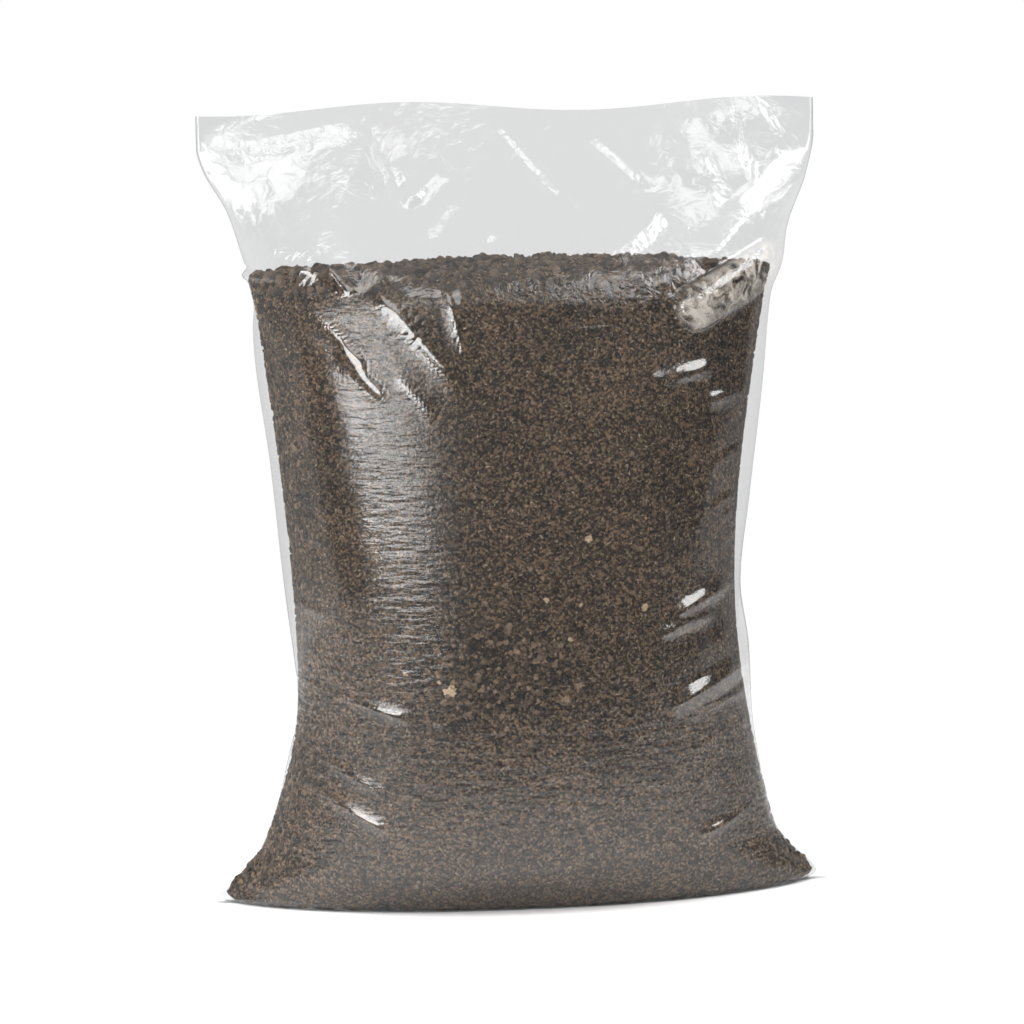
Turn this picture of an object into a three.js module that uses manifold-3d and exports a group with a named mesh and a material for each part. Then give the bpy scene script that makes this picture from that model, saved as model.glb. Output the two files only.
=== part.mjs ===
// A clear film bag of topsoil, standing on its base.
// The bag is one length of flat film tube, closed across the bottom, with its two lips lying together
// above the soil. The soil is one loose mass that fills the bag up to its shoulder.
// Units are millimetres, +Z is up, the front faces -Y, and the origin is on the floor under the middle.
import * as THREE from "three";
import { LoftGeometry } from "three/addons/geometries/LoftGeometry.js";
import { mergeVertices } from "three/addons/utils/BufferGeometryUtils.js";
import Module from "manifold-3d";

const wasm = await Module();
wasm.setup();

// Film
const FILM_THICKNESS = 0.15;
const MOUTH_WIDTH = 400; // the tube pressed flat
const MOUTH_GAP = 1; // between the two lips
const LIP_BAND = 22; // the strip below the lips that stays at the tube's full width
const LIP_DIP = 7; // how far the lips dip between their high places
const LIP_WAVE = 5; // how far the lips wave to the front and the back
const PRESSED_EDGE = 1; // the tube's side crease, where the two sheets meet

// Heights above the floor
const EAR_HEIGHT = 4;
const HEEL_HEIGHT = 36;
const LEFT_WAIST_HEIGHT = 140;
const RIGHT_WAIST_HEIGHT = 200;
const BELLY_HEIGHT = 170;
const SOIL_HEIGHT = 408;
const SHOULDER_DROP = 22; // from the soil's rim down to the shoulder
const HEADSPACE = 108; // empty film above the soil's rim

// Widths and depths of the filled bag
const BASE_WIDTH = 376; // where it lies on the floor
const EAR_SPAN = 396; // across the two bottom corners
const HEEL_WIDTH = 344;
const WAIST_WIDTH = 293;
const SHOULDER_WIDTH = 336;
const BASE_DEPTH = 122;
const HEEL_DEPTH = 174;
const BELLY_DEPTH = 198;
const SHOULDER_DEPTH = 162;
const TENT_DEPTH = 62; // halfway up the empty film, where its two sheets lean together

// Soil
const SOIL_CLEARANCE = 0.35; // between the soil and the film
const SIDE_FIN = 3; // empty film beside the soil, at each side crease
const RIM_ROUNDING = 7; // the soil's rim turns over inside the film
const SOIL_CROWN = 6; // the middle of the soil's top stands this much above its rim
const CLOD_HEIGHT = 3; // lumps on the soil's top
const CLOD_PITCH = 31;

// Gathers along the side creases, where the film is drawn in around the waist
const GATHER_PITCH = 45;
const GATHER_RISE = 1.5;
const GATHER_REACH = 70; // in from the crease

// How finely the surfaces are faceted
const COLUMNS = 28; // across each sheet
const HEEL_ROWS = 5;
const BODY_ROWS = 20;
const TENT_ROWS = 10;
const CROWN_RINGS = 6;

const FRONT = -1;
const BACK = 1;
const BAG_HEIGHT = SOIL_HEIGHT + HEADSPACE;
const SHOULDER_HEIGHT = SOIL_HEIGHT - SHOULDER_DROP;
const LIP_HALF_DEPTH = MOUTH_GAP / 2 + FILM_THICKNESS;

const { clamp, lerp, smoothstep } = THREE.MathUtils;

// A smooth curve through [height, value] points that never swings past them.
function curveThrough(points) {
  const slopes = points.slice(1).map(([h, v], i) => (v - points[i][1]) / (h - points[i][0]));
  const tangents = points.map((_, i) => {
    const before = slopes[Math.max(i - 1, 0)];
    const after = slopes[Math.min(i, slopes.length - 1)];
    return before * after <= 0 ? 0 : (2 * before * after) / (before + after);
  });
  return (height) => {
    const next = points.findIndex(([h]) => h > height);
    const i = next < 0 ? points.length - 2 : Math.max(next - 1, 0);
    const [h0, v0] = points[i];
    const [h1, v1] = points[i + 1];
    const t = clamp((height - h0) / (h1 - h0), 0, 1);
    const u = 1 - t;
    const ends = v0 * (1 + 2 * t) * u * u + v1 * (1 + 2 * u) * t * t;
    return ends + (h1 - h0) * t * u * (tangents[i] * u - tangents[i + 1] * t);
  };
}

// The bag's outline seen from the front: how far each side crease stands from the middle.
function sideOutline(waistHeight) {
  return curveThrough([
    [0, BASE_WIDTH / 2],
    [EAR_HEIGHT, EAR_SPAN / 2],
    [HEEL_HEIGHT, HEEL_WIDTH / 2],
    [waistHeight, WAIST_WIDTH / 2],
    [SHOULDER_HEIGHT, SHOULDER_WIDTH / 2],
    [BAG_HEIGHT - LIP_BAND, MOUTH_WIDTH / 2],
    [BAG_HEIGHT, MOUTH_WIDTH / 2],
  ]);
}
const leftReach = sideOutline(LEFT_WAIST_HEIGHT);
const rightReach = sideOutline(RIGHT_WAIST_HEIGHT);
const reachAt = (share, height) => (share < 0 ? leftReach : rightReach)(height);

// Its outline seen from the side: how far each sheet stands from the middle.
const halfDepth = curveThrough([
  [0, BASE_DEPTH / 2],
  [HEEL_HEIGHT, HEEL_DEPTH / 2],
  [BELLY_HEIGHT, BELLY_DEPTH / 2],
  [SHOULDER_HEIGHT, SHOULDER_DEPTH / 2],
  [SOIL_HEIGHT + HEADSPACE / 2, TENT_DEPTH / 2],
  [BAG_HEIGHT, LIP_HALF_DEPTH],
]);

// How the sheets meet at the side creases: 0.5 is a round side, and 1 a pointed one.
const sidePoint = curveThrough([
  [0, 0.8],
  [HEEL_HEIGHT, 0.68],
  [BELLY_HEIGHT, 0.56],
  [SHOULDER_HEIGHT, 0.62],
  [BAG_HEIGHT, 0.8],
]);
const SIDE_FULLNESS = 2.3;
const LIP_FULLNESS = 0.15; // the two lips stay apart nearly out to their corners

// Folds of one sheet, each along a line between two places. A place is [share, level]: the share of the
// way from the middle to the side crease, and a level of 0 at the floor, 1 at the soil's rim and 2 at
// the lips. A positive rise is a ridge that stands off the soil, and a negative one a dent into it.
const FRONT_FOLDS = [
  { from: [0.95, 1.01], to: [0.66, 0.93], width: 22, rise: 13 },
  { from: [-0.55, 0.97], to: [-0.25, 0.84], width: 15, rise: 3.5 },
  { from: [-0.86, 0.98], to: [-0.6, 0.87], width: 15, rise: 3.5 },
  { from: [0.78, 0.85], to: [0.47, 0.83], width: 14, rise: 4 },
  { from: [1, 0.52], to: [0.6, 0.46], width: 15, rise: 7 },
  { from: [1, 0.38], to: [0.58, 0.32], width: 15, rise: 7 },
  { from: [1, 0.15], to: [0.63, 0.11], width: 15, rise: 7 },
  { from: [-1, 0.36], to: [-0.51, 0.31], width: 15, rise: 5.5 },
  { from: [-0.99, 0.22], to: [-0.53, 0.13], width: 15, rise: 5.5 },
  { from: [-0.95, 1.74], to: [-0.83, 1.08], width: 20, rise: 3.5 },
  { from: [-0.98, 1.8], to: [-0.43, 1.94], width: 18, rise: 4 },
  { from: [-0.41, 1.94], to: [-0.77, 1.08], width: 34, rise: 5 },
  { from: [-0.36, 1.66], to: [-0.32, 1.42], width: 14, rise: 4 },
  { from: [-0.34, 1.24], to: [-0.21, 1.5], width: 15, rise: 5 },
  { from: [-0.04, 1.96], to: [0.22, 1.38], width: 14, rise: 4 },
  { from: [0.26, 1.9], to: [0.47, 1.5], width: 14, rise: 4 },
  { from: [0.33, 1.09], to: [0.49, 1.36], width: 16, rise: 5 },
  { from: [1, 1.63], to: [0.67, 1.03], width: 22, rise: 8 },
  { from: [0.55, 1.85], to: [0.82, 1.5], width: 18, rise: 5 },
];
const BACK_FOLDS = [
  { from: [0.8, 1.04], to: [0.35, 0.82], width: 16, rise: 8 },
  { from: [-0.92, 1], to: [-0.59, 0.87], width: 16, rise: 9 },
  { from: [1, 0.42], to: [0.52, 0.37], width: 15, rise: 8 },
  { from: [-1, 0.49], to: [-0.57, 0.43], width: 15, rise: 8 },
  { from: [-1, 0.21], to: [-0.56, 0.14], width: 15, rise: 8 },
  { from: [1, 0.18], to: [0.54, 0.11], width: 15, rise: 8 },
  { from: [0.95, 1.76], to: [0.67, 1.04], width: 26, rise: 10 },
  { from: [-0.94, 1.72], to: [-0.55, 1.06], width: 26, rise: 10 },
  { from: [0.1, 1.93], to: [-0.11, 1.11], width: 22, rise: 6 },
  { from: [-0.5, 1.75], to: [-0.15, 1.4], width: 18, rise: 5 },
];

function heightOfLevel(level) {
  return level < 1 ? level * SOIL_HEIGHT : SOIL_HEIGHT + (level - 1) * HEADSPACE;
}

function placeOnSheet([share, level]) {
  const height = heightOfLevel(level);
  return new THREE.Vector2(share * reachAt(share, height), height);
}

// How far one fold lifts the sheet. A fold has flat flanks and runs out at both ends.
const FOLD_EVENNESS = 6;
function foldRise({ from, to, width, rise }, across, height) {
  const start = placeOnSheet(from);
  const run = placeOnSheet(to).sub(start);
  const place = new THREE.Vector2(across, height).sub(start);
  const along = clamp(place.dot(run) / run.lengthSq(), 0, 1);
  const distance = place.addScaledVector(run, -along).length();
  const flank = Math.max(1 - distance / width, 0);
  return rise * flank * (1 - (2 * along - 1) ** FOLD_EVENNESS);
}

// How far all folds and gathers lift the sheet. They run out at the side creases, floor and lips.
const CREASE_FADE = 6;
function sheetRise(side, share, height) {
  const reach = reachAt(share, height);
  const across = share * reach;
  const folds = side === FRONT ? FRONT_FOLDS : BACK_FOLDS;
  const folded = folds.reduce((sum, fold) => sum + foldRise(fold, across, height), 0);
  const nearCrease = smoothstep(Math.abs(across), reach - GATHER_REACH, reach);
  const gathered = GATHER_RISE * nearCrease * Math.sin((2 * Math.PI * height) / GATHER_PITCH + side);
  const besideCrease = 1 - Math.abs(share) ** CREASE_FADE;
  const aboveFloor = smoothstep(height, 0, HEEL_HEIGHT);
  const belowLips = 1 - smoothstep(height, BAG_HEIGHT - 2 * LIP_BAND, BAG_HEIGHT - LIP_BAND / 4);
  return (folded + gathered) * besideCrease * aboveFloor * belowLips;
}

// The sheet's distance from the bag's middle, with no folds.
function plainDepth(share, height) {
  const open = 1 - Math.abs(share) ** SIDE_FULLNESS;
  return Math.max(halfDepth(height) * open ** sidePoint(height), LIP_HALF_DEPTH * open ** LIP_FULLNESS);
}

// The same with its folds. No fold closes the gap that is left between the lips.
function filmDepth(side, share, height) {
  const lips = LIP_HALF_DEPTH * (1 - Math.abs(share) ** SIDE_FULLNESS) ** LIP_FULLNESS;
  return Math.max(plainDepth(share, height) + sheetRise(side, share, height), lips);
}

// The film's thickness measured straight to the back, which grows where the sheet turns away.
const SLOPE_STEP = 1;
const STEEPEST = 5;
function filmThrough(side, share, height) {
  const inner = Math.abs(share) - SLOPE_STEP / reachAt(share, height);
  const here = filmDepth(side, share, height);
  const acrossSlope = (here - filmDepth(side, Math.sign(share) * inner, height)) / SLOPE_STEP;
  const upSlope = (here - filmDepth(side, share, height + SLOPE_STEP)) / SLOPE_STEP;
  return FILM_THICKNESS * Math.min(Math.hypot(1, acrossSlope, upSlope), STEEPEST);
}

// The soil lies one film and a clearance inside the bag. It follows the film's dents but not its ridges.
function soilDepth(side, share, height) {
  const dent = Math.min(sheetRise(side, share, height), 0);
  const overRim = RIM_ROUNDING * smoothstep(height, SOIL_HEIGHT - RIM_ROUNDING, SOIL_HEIGHT);
  const standOff = filmThrough(side, share, height) + SOIL_CLEARANCE + overRim;
  return Math.max(plainDepth(share, height) + dent - standOff, 0);
}

// The lips dip between two high places, and wave to the front and the back.
const LIP_HIGH_PLACE = -0.33; // this and the next two are shares of the half-width
const LIP_DIP_PITCH = 1.15;
const LIP_WAVE_START = -0.2;
function lipDip(share, height) {
  const swing = (2 * Math.PI * (share - LIP_HIGH_PLACE)) / LIP_DIP_PITCH;
  const rise = smoothstep(height, SOIL_HEIGHT, BAG_HEIGHT);
  return (LIP_DIP * rise * (1 - Math.cos(swing))) / 2;
}
function lipWave(share, height) {
  const swing = 2 * Math.PI * (share - LIP_WAVE_START);
  return LIP_WAVE * smoothstep(height, SOIL_HEIGHT, BAG_HEIGHT) * Math.sin(swing);
}

// Goes once round a section, along the front sheet and back along the rear one, with the places
// crowded towards the side creases, where the sheets turn.
const CROWDING = 0.5;
function aroundSection(pointAt) {
  const points = [];
  for (const side of [FRONT, BACK]) {
    for (let i = 0; i < COLUMNS; i++) {
      const even = (2 * i) / COLUMNS - 1;
      const crowded = Math.sin((Math.PI / 2) * even);
      points.push(pointAt(side, -side * lerp(even, crowded, CROWDING)));
    }
  }
  return points;
}

function filmSection(height) {
  return aroundSection((side, share) => {
    const across = share * reachAt(share, height);
    const away = side * filmDepth(side, share, height) + lipWave(share, height);
    return new THREE.Vector3(across, away, height - lipDip(share, height));
  });
}

// Inside the film. The side creases are pressed together, so the cavity stops short of them.
const EDGE_SHARPNESS = 40;
function cavitySection(height, lift = 0) {
  return aroundSection((side, share) => {
    const pressed = PRESSED_EDGE * Math.abs(share) ** EDGE_SHARPNESS;
    const across = share * (reachAt(share, height) - pressed);
    const depth = filmDepth(side, share, height) - filmThrough(side, share, height);
    const away = side * Math.max(depth, 0) + lipWave(share, height);
    return new THREE.Vector3(across, away, height - lipDip(share, height) + lift);
  });
}

const FIN_SHARPNESS = 12;
function soilSection(height, lift = 0, shrink = 1) {
  return aroundSection((side, share) => {
    const fin = SIDE_FIN * Math.abs(share) ** FIN_SHARPNESS;
    const across = shrink * share * (reachAt(share, height) - fin);
    const away = shrink * side * soilDepth(side, share, height);
    const swell = (2 * Math.PI) / CLOD_PITCH;
    const clods = CLOD_HEIGHT * (1 - shrink ** 4) * Math.sin(swell * across) * Math.cos(swell * away);
    return new THREE.Vector3(across, away, height + lift + clods);
  });
}

// Rows of sections stand close together at the heel, where the bag turns up from the floor.
function heelAndBodyHeights() {
  const heights = [];
  for (let i = 0; i < HEEL_ROWS; i++) heights.push(HEEL_HEIGHT * (i / HEEL_ROWS) ** 2);
  for (let i = 0; i <= BODY_ROWS; i++) heights.push(lerp(HEEL_HEIGHT, SOIL_HEIGHT, i / BODY_ROWS));
  return heights;
}

function tentHeights() {
  return Array.from({ length: TENT_ROWS }, (_, i) => SOIL_HEIGHT + (HEADSPACE * (i + 1)) / TENT_ROWS);
}

// A closed skin over the sections, with the corners that its faces share merged.
function loft(sections) {
  const skin = new LoftGeometry(sections, { capStart: true, capEnd: true });
  const geometry = new THREE.BufferGeometry();
  geometry.setAttribute("position", skin.getAttribute("position"));
  geometry.setIndex(skin.getIndex());
  return mergeVertices(geometry);
}

function solidOf(geometry) {
  const vertProperties = new Float32Array(geometry.getAttribute("position").array);
  const triVerts = new Uint32Array(geometry.getIndex().array);
  return new wasm.Manifold(new wasm.Mesh({ numProp: 3, vertProperties, triVerts }));
}

function geometryOf(solid) {
  const { vertProperties, triVerts } = solid.getMesh();
  const geometry = new THREE.BufferGeometry();
  geometry.setAttribute("position", new THREE.BufferAttribute(vertProperties, 3));
  geometry.setIndex(new THREE.BufferAttribute(triVerts, 1));
  return geometry;
}

// The film tube: its outer form less the cavity, which runs out through the mouth.
function makeFilmBag() {
  const heights = [...heelAndBodyHeights(), ...tentHeights()];
  const outer = heights.map(filmSection);
  const cavity = heights.map((height) => cavitySection(height));
  cavity[0] = cavitySection(0, FILM_THICKNESS);
  cavity.push(cavitySection(BAG_HEIGHT, LIP_BAND));
  const geometry = geometryOf(solidOf(loft(outer)).subtract(solidOf(loft(cavity))));
  const clearFilm = new THREE.MeshStandardMaterial({
    color: 0xe9edee,
    roughness: 0.12,
    metalness: 0,
    transparent: true,
    opacity: 0.22,
  });
  const bag = new THREE.Mesh(geometry, clearFilm);
  bag.name = "film_bag";
  return bag;
}

// The soil: up the film from the floor, over its rim, and in to the crown of its loose top.
function makeSoilFill() {
  const sections = heelAndBodyHeights().map((height) => soilSection(height));
  sections[0] = soilSection(0, FILM_THICKNESS + SOIL_CLEARANCE);
  for (let ring = 1; ring <= CROWN_RINGS; ring++) {
    const shrink = 1 - ring / (CROWN_RINGS + 1);
    sections.push(soilSection(SOIL_HEIGHT, SOIL_CROWN * (1 - shrink ** 2), shrink));
  }
  const darkSoil = new THREE.MeshStandardMaterial({ color: 0x3b2a20, roughness: 0.95, metalness: 0 });
  const soil = new THREE.Mesh(loft(sections), darkSoil);
  soil.name = "soil_fill";
  return soil;
}

const topsoilBag = new THREE.Group();
topsoilBag.add(makeFilmBag(), makeSoilFill());

export default topsoilBag;
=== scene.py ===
"""A clear film bag of topsoil, dressed and lit for its portrait.

The film is laid over the bag's form, with each of its main folds placed one by one. A small solver then
settles it a little, and keeps it off the soil and the floor. The soil is a crumbly mass with loose
crumbs, fibres and pale lumps in it. Units are metres, in the part's own frame.
"""

import logging
import math
from dataclasses import dataclass
from enum import Enum

import bmesh
import bpy
import numpy as np
from mathutils import Euler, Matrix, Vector
from mathutils.bvhtree import BVHTree


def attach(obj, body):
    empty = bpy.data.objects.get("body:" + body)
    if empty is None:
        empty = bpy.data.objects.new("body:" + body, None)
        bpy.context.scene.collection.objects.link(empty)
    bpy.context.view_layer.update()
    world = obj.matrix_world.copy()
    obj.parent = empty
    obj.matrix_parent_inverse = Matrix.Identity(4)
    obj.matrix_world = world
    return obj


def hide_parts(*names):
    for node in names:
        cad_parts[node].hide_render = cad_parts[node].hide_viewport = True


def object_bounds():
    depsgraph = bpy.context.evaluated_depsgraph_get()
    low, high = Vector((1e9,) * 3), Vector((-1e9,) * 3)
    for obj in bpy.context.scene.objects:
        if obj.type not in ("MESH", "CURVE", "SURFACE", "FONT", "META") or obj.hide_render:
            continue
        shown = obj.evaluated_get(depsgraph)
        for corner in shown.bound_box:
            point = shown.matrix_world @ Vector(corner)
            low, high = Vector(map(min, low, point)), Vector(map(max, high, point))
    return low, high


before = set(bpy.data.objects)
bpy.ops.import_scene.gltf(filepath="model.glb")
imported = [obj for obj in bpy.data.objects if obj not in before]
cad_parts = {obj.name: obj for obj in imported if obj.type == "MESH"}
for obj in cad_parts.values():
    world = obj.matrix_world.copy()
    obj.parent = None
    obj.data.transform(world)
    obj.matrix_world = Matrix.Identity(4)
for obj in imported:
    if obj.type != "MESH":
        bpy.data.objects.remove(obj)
CAD_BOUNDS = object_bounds()

LOG = logging.getLogger("topsoil_bag")
BODY = "root"
TINY = 1.0e-9

Array = np.ndarray
Pair = tuple[float, float]
Triple = tuple[float, float, float]
Piece = bpy.types.Object
Socket = bpy.types.NodeSocket


class Sheet(Enum):
    """The two sheets of the flat film tube, by the side of the bag that they cover."""

    FRONT = -1
    BACK = 1


class FoldKind(Enum):
    """How a fold's section looks."""

    ROUND = "round"
    CREASED = "creased"
    ROLLED = "rolled"


class Grain(Enum):
    """The kinds of loose bits in the soil."""

    CRUMB = "crumb"
    FIBRE = "fibre"
    PALE_LUMP = "pale_lump"


@dataclass(frozen=True)
class Profile:
    """A smooth curve through (height, size) points that never swings past them."""

    points: tuple[Pair, ...]

    def at(self, heights: Array) -> Array:
        """The size at each height.

        Args:
            heights: Heights above the floor.

        Returns:
            One size for each height.
        """
        knots = np.array([p[0] for p in self.points])
        sizes = np.array([p[1] for p in self.points])
        slopes = np.diff(sizes) / np.diff(knots)
        before = np.concatenate(([slopes[0]], slopes))
        after = np.concatenate((slopes, [slopes[-1]]))
        product = before * after
        total = np.where(np.abs(before + after) < TINY, 1.0, before + after)
        tangents = np.where(product > 0, 2 * product / total, 0.0)
        i = np.clip(np.searchsorted(knots, heights, side="right") - 1, 0, len(slopes) - 1)
        span = knots[i + 1] - knots[i]
        t = np.clip((heights - knots[i]) / span, 0, 1)
        u = 1 - t
        ends = sizes[i] * (1 + 2 * t) * u * u + sizes[i + 1] * (1 + 2 * u) * t * t
        return ends + span * t * u * (tangents[i] * u - tangents[i + 1] * t)


def smooth_step(values: Array, low: float, high: float) -> Array:
    """Rises smoothly from 0 at low to 1 at high."""
    t = np.clip((values - low) / (high - low), 0, 1)
    return t * t * (3 - 2 * t)


def even_places(path: Array, count: int) -> Array:
    """Spaces places evenly along a line, from its first place to its last.

    Args:
        path: The places of the line, one row each.
        count: How many steps there are between the new places.

    Returns:
        The new places, one more than the steps.
    """
    arc = np.concatenate(([0], np.cumsum(np.linalg.norm(np.diff(path, axis=0), axis=-1))))
    wanted = np.linspace(0, arc[-1], count + 1)
    return np.stack([np.interp(wanted, arc, path[:, axis]) for axis in range(3)], axis=-1)


def new_mesh_object(name: str, places: Array, faces: list | Array) -> Piece:
    """Makes a smooth-shaded mesh object and links it to the scene.

    Args:
        name: The piece's name.
        places: Vertex places, one row each.
        faces: Vertex numbers of each face.

    Returns:
        The new object.
    """
    mesh = bpy.data.meshes.new(name)
    mesh.from_pydata(places.tolist(), [], faces.tolist() if isinstance(faces, Array) else faces)
    mesh.polygons.foreach_set("use_smooth", np.ones(len(mesh.polygons), bool))
    mesh.update()
    piece = bpy.data.objects.new(name, mesh)
    bpy.context.scene.collection.objects.link(piece)
    return piece


def bake_modifiers(piece: Piece) -> None:
    """Replaces a piece's mesh by what its modifiers make of it, and drops them.

    Args:
        piece: The piece to bake.
    """
    graph = bpy.context.evaluated_depsgraph_get()
    graph.update()
    baked = bpy.data.meshes.new_from_object(piece.evaluated_get(graph))
    piece.modifiers.clear()
    piece.data = baked
    baked.polygons.foreach_set("use_smooth", np.ones(len(baked.polygons), bool))


def mesh_places(piece: Piece) -> Array:
    """Reads a piece's vertex places.

    Args:
        piece: The piece to read.

    Returns:
        The places, one row each.
    """
    flat = np.zeros(len(piece.data.vertices) * 3)
    piece.data.vertices.foreach_get("co", flat)
    return flat.reshape(-1, 3)


def add_attribute(piece: Piece, name: str, values: Array) -> None:
    """Stores one number for each vertex, for a material to read."""
    layer = piece.data.attributes.new(name, "FLOAT", "POINT")
    layer.data.foreach_set("value", values.astype(np.float32))


@dataclass(frozen=True)
class Nodes:
    """Short ways to add and join the nodes of one material."""

    tree: bpy.types.NodeTree

    @classmethod
    def for_material(cls, name: str) -> "tuple[bpy.types.Material, Nodes]":
        """Makes a material with an empty node tree.

        Args:
            name: The material's name.

        Returns:
            The material and its nodes.
        """
        material = bpy.data.materials.new(name)
        material.use_nodes = True
        material.node_tree.nodes.clear()
        return material, cls(material.node_tree)

    def add(self, kind: str, settings: dict | None = None, **inputs: object) -> bpy.types.Node:
        """Adds a node.

        Args:
            kind: The node's Blender type.
            settings: Values for the node's own properties.
            **inputs: A value or an output socket for each named input, with _ for a space.

        Returns:
            The new node.
        """
        node = self.tree.nodes.new(kind)
        for key, value in (settings or {}).items():
            setattr(node, key, value)
        for key, value in inputs.items():
            self.feed(node.inputs[key.replace("_", " ")], value)
        return node

    def feed(self, socket: Socket, value: object) -> None:
        """Links an output to an input, or sets the input's own value.

        Args:
            socket: The input.
            value: An output, or a plain value.
        """
        if isinstance(value, Socket):
            self.tree.links.new(value, socket)
        else:
            socket.default_value = value

    def ramp(self, factor: Socket, *stops: tuple[float, tuple]) -> Socket:
        """A colour ramp.

        Args:
            factor: What drives it.
            *stops: Each stop's place from 0 to 1 and its colour.

        Returns:
            The ramp's colour output.
        """
        node = self.add("ShaderNodeValToRGB", Fac=factor)
        elements = node.color_ramp.elements
        while len(elements) < len(stops):
            elements.new(0.5)
        for element, (place, colour) in zip(elements, stops):
            element.position = place
            element.color = (*colour, 1)
        return node.outputs["Color"]

    def maths(self, operation: str, first: object, second: object = 0.0) -> Socket:
        """Works out one sum.

        Args:
            operation: Blender's name for the sum.
            first: The first value, a socket or a number.
            second: The second value, likewise.

        Returns:
            The result.
        """
        node = self.tree.nodes.new("ShaderNodeMath")
        node.operation = operation
        self.feed(node.inputs[0], first)
        self.feed(node.inputs[1], second)
        return node.outputs[0]

    def times(self, first: object, second: object) -> Socket:
        """The product of two values."""
        return self.maths("MULTIPLY", first, second)

    def plus(self, first: object, second: object) -> Socket:
        """The sum of two values."""
        return self.maths("ADD", first, second)

    def slide(self, share: Socket, first: float, last: float) -> Socket:
        """A value that goes from the first number to the last one as the share goes from 0 to 1."""
        return self.plus(self.times(share, last - first), first)

    def attribute(self, name: str) -> Socket:
        """One of the numbers that a mesh stores for each vertex."""
        return self.add("ShaderNodeAttribute", {"attribute_name": name}).outputs["Fac"]

    def place(self) -> Socket:
        """The place on the piece, in metres."""
        return self.add("ShaderNodeTexCoord").outputs["Object"]

    def noise(
        self, place: Socket, scale: float, detail: float, twist: float = 0.0
    ) -> Socket:
        """Even noise from 0 to 1.

        Args:
            place: Where it is looked up.
            scale: Bumps to the metre.
            detail: How many finer layers it has.
            twist: How much it is distorted.

        Returns:
            The noise.
        """
        node = self.add("ShaderNodeTexNoise", Vector=place, Scale=scale, Detail=detail, Distortion=twist)
        return node.outputs["Fac"]

    def matt(self, colour: Triple) -> Socket:
        """A matt surface of one colour."""
        return self.add("ShaderNodeBsdfDiffuse", Color=(*colour, 1)).outputs["BSDF"]

    def clear(self, tint: Triple = (1, 1, 1)) -> Socket:
        """A surface to look straight through."""
        return self.add("ShaderNodeBsdfTransparent", Color=(*tint, 1)).outputs["BSDF"]

    def smooth_fade(self, value: Socket, low: float, high: float) -> Socket:
        """Fades smoothly between two limits.

        Args:
            value: What it follows.
            low: Where it is 0.
            high: Where it is 1.

        Returns:
            A number from 0 to 1.
        """
        node = self.add("ShaderNodeMapRange", {"interpolation_type": "SMOOTHSTEP"}, Value=value)
        node.inputs["From Min"].default_value = low
        node.inputs["From Max"].default_value = high
        return node.outputs["Result"]

    def blend(self, factor: object, first: object, second: object, mode: str = "MIX") -> Socket:
        """Mixes two colours.

        Args:
            factor: The share of the second colour.
            first: The first colour, or a socket.
            second: The second colour, or a socket.
            mode: How the second colour goes over the first.

        Returns:
            The mixed colour.
        """
        node = self.tree.nodes.new("ShaderNodeMix")
        node.data_type = "RGBA"
        node.blend_type = mode
        self.feed(node.inputs["Factor"], factor)
        self.feed(node.inputs["A"], first)
        self.feed(node.inputs["B"], second)
        return node.outputs["Result"]

    def mix_shaders(self, factor: object, first: object, second: object) -> Socket:
        """Mixes two shaders.

        Args:
            factor: The share of the second shader.
            first: The first shader.
            second: The second shader.

        Returns:
            The mixed shader.
        """
        node = self.tree.nodes.new("ShaderNodeMixShader")
        for socket, value in zip(node.inputs, (factor, first, second)):
            self.feed(socket, value)
        return node.outputs["Shader"]

    def show(self, shader: Socket) -> None:
        """Joins a shader to the material's output."""
        self.add("ShaderNodeOutputMaterial", Surface=shader)

    def show_earth(self, finish: "SoilFinish | LooseBitFinish", colour: Socket, height: Socket) -> None:
        """Joins rough earth to the material's output.

        Args:
            finish: What gives the depth of the relief, the roughness and the sheen.
            colour: The earth's colour.
            height: The relief, as a share of its depth.
        """
        bump = self.add("ShaderNodeBump", Height=height, Distance=finish.relief)
        bump.inputs["Strength"].default_value = finish.relief_strength
        shader = self.add("ShaderNodeBsdfPrincipled", Base_Color=colour, Normal=bump.outputs["Normal"])
        shader.inputs["Roughness"].default_value = finish.roughness
        shader.inputs["Specular IOR Level"].default_value = finish.specular
        self.show(shader.outputs["BSDF"])


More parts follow.
